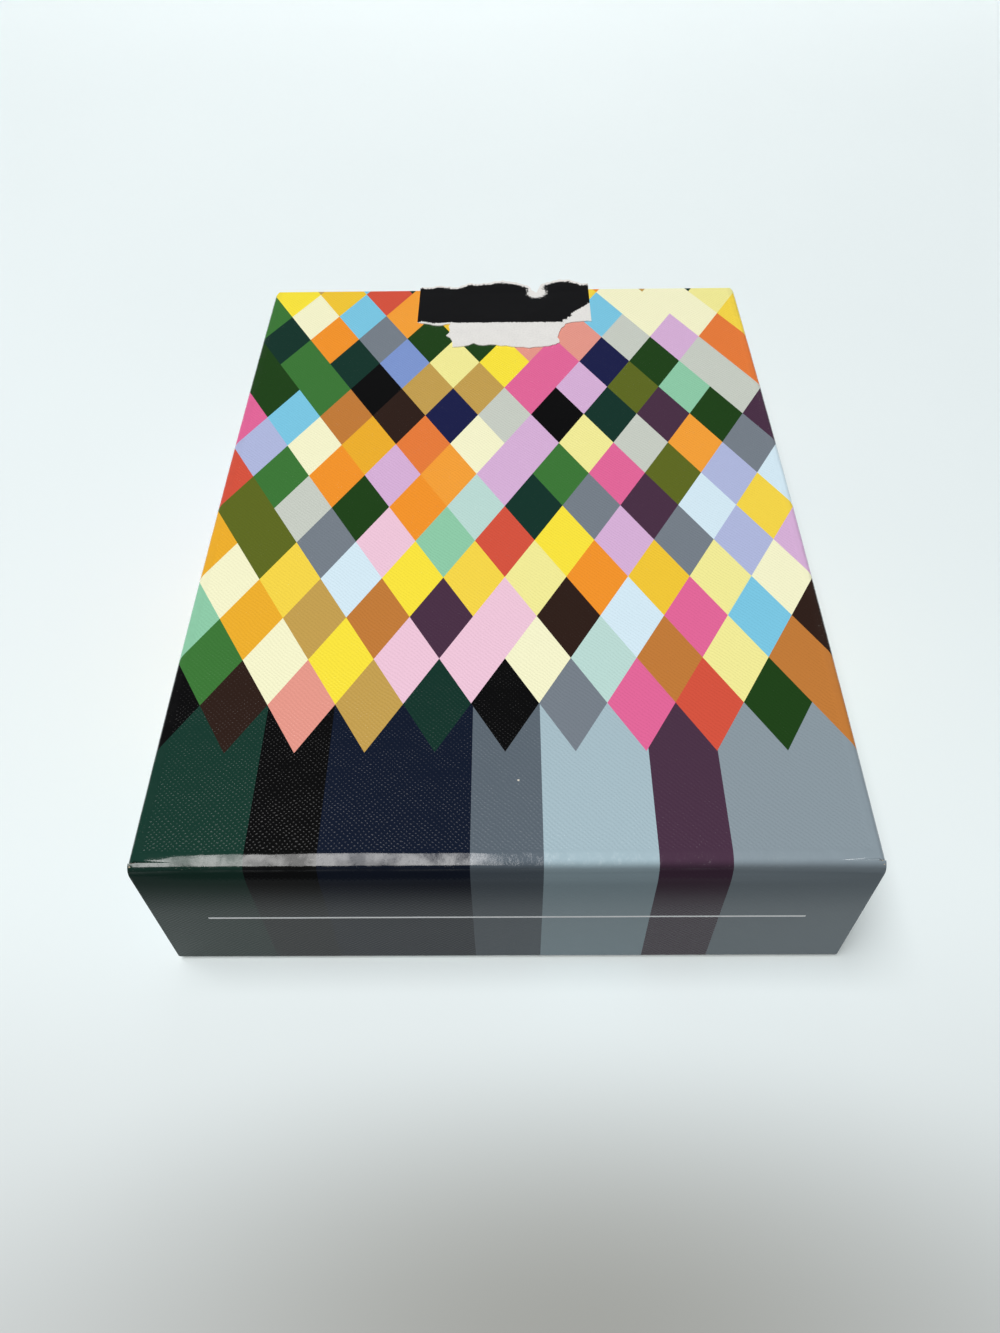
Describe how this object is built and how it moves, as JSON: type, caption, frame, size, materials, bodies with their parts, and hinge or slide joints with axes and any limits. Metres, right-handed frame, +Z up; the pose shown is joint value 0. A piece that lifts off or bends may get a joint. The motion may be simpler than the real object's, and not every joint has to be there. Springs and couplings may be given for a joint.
{
  "type": "playing card deck",
  "caption": "Flat oblong tuck carton of folded board, with a hinged tuck lid, dust flaps and a torn paper seal, filled by a stack of round-cornered playing cards.",
  "frame": {"origin": "centre of the back panel's outside, on which the carton lies", "axes": "+X across the carton, +Y along it from the glued end to the lid, +Z up from the back panel to the front panel"},
  "size_m": [0.0654, 0.0938, 0.0187],
  "materials": {
    "printed_board": "printed and varnished, embossed",
    "seal_paper": "printed paper, torn",
    "card_stock": "coated card"
  },
  "bodies": {
    "carton": {"carton": "printed_board", "seal": "seal_paper"},
    "lid": {"lid_panel": "printed_board"},
    "tongue": {"tuck_tongue": "printed_board"},
    "dust_left": {"dust_flap_left": "printed_board"},
    "dust_right": {"dust_flap_right": "printed_board"},
    "deck": {"red_joker": "card_stock", "black_joker": "card_stock", "ace_of_spades": "card_stock", "two_of_spades": "card_stock", "three_of_spades": "card_stock", "four_of_spades": "card_stock", "five_of_spades": "card_stock", "six_of_spades": "card_stock", "seven_of_spades": "card_stock", "eight_of_spades": "card_stock", "nine_of_spades": "card_stock", "ten_of_spades": "card_stock", "jack_of_spades": "card_stock", "queen_of_spades": "card_stock", "king_of_spades": "card_stock", "ace_of_diamonds": "card_stock", "two_of_diamonds": "card_stock", "three_of_diamonds": "card_stock", "four_of_diamonds": "card_stock", "five_of_diamonds": "card_stock", "six_of_diamonds": "card_stock", "seven_of_diamonds": "card_stock", "eight_of_diamonds": "card_stock", "nine_of_diamonds": "card_stock", "ten_of_diamonds": "card_stock", "jack_of_diamonds": "card_stock", "queen_of_diamonds": "card_stock", "king_of_diamonds": "card_stock", "king_of_clubs": "card_stock", "queen_of_clubs": "card_stock", "jack_of_clubs": "card_stock", "ten_of_clubs": "card_stock", "nine_of_clubs": "card_stock", "eight_of_clubs": "card_stock", "seven_of_clubs": "card_stock", "six_of_clubs": "card_stock", "five_of_clubs": "card_stock", "four_of_clubs": "card_stock", "three_of_clubs": "card_stock", "two_of_clubs": "card_stock", "ace_of_clubs": "card_stock", "king_of_hearts": "card_stock", "queen_of_hearts": "card_stock", "jack_of_hearts": "card_stock", "ten_of_hearts": "card_stock", "nine_of_hearts": "card_stock", "eight_of_hearts": "card_stock", "seven_of_hearts": "card_stock", "six_of_hearts": "card_stock", "five_of_hearts": "card_stock", "four_of_hearts": "card_stock", "three_of_hearts": "card_stock", "two_of_hearts": "card_stock", "ace_of_hearts": "card_stock"}
  },
  "joints": [
    {"name": "lid_hinge", "type": "hinge", "parent": "carton", "child": "lid", "pos_m": [0, 0.04561, 0.00038], "axis": [-1, 0, 0], "range_deg": [0, 90]},
    {"name": "tongue_crease", "type": "hinge", "parent": "lid", "child": "tongue", "pos_m": [0, 0.04561, 0.01654], "axis": [1, 0, 0], "range_deg": [0, 48]},
    {"name": "dust_left_crease", "type": "hinge", "parent": "carton", "child": "dust_left", "pos_m": [-0.03237, 0.04515, 0.00928], "axis": [0, 0, 1], "range_deg": [0, 18.5]},
    {"name": "dust_right_crease", "type": "hinge", "parent": "carton", "child": "dust_right", "pos_m": [0.03237, 0.04515, 0.00928], "axis": [0, 0, -1], "range_deg": [0, 18.5]},
    {"name": "deck_slide", "type": "slide", "parent": "carton", "child": "deck", "axis": [0, 1, 0], "range_m": [0, 0.0009]}
  ],
  "couplings": [
    {"joint": "tongue_crease", "follows": "lid_hinge", "ratio": 0.53},
    {"joint": "dust_left_crease", "follows": "lid_hinge", "ratio": 0.2},
    {"joint": "dust_right_crease", "follows": "lid_hinge", "ratio": 0.2}
  ]
}
